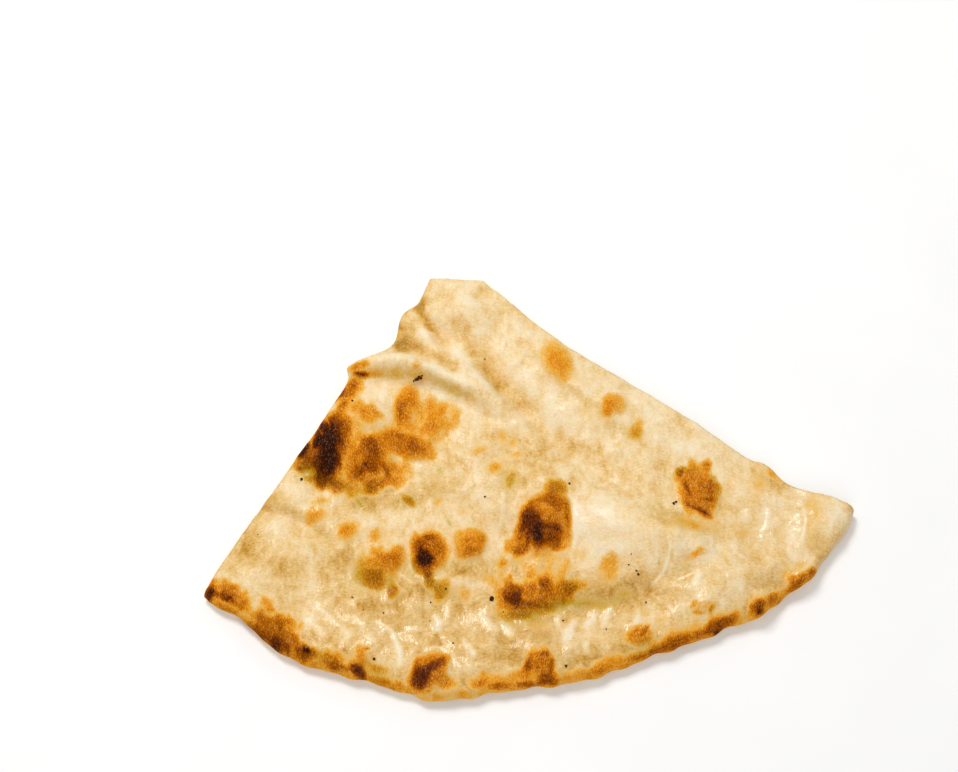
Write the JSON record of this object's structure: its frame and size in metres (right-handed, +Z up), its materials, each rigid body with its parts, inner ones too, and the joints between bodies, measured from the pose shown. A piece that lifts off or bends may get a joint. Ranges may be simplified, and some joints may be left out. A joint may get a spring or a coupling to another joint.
{
  "type": "naan bread quarter",
  "caption": "Cut quarter of a large round naan: one thin wavy sheet of blistered flatbread with a puffed rim, a rolled pleat and two straight cut sides.",
  "frame": {"origin": "middle of the bread's footprint, on the table it lies on", "axes": "+X to the right along the long side of the footprint, +Y back from the rim towards the cut point, +Z up out of the blistered side"},
  "size_m": [0.232, 0.1683, 0.0137],
  "materials": {
    "bread": "pale baked crust with gold, brown and burnt blisters and a thin patchy sheen of butter"
  },
  "bodies": {
    "root": {"naan": "bread"}
  },
  "joints": []
}
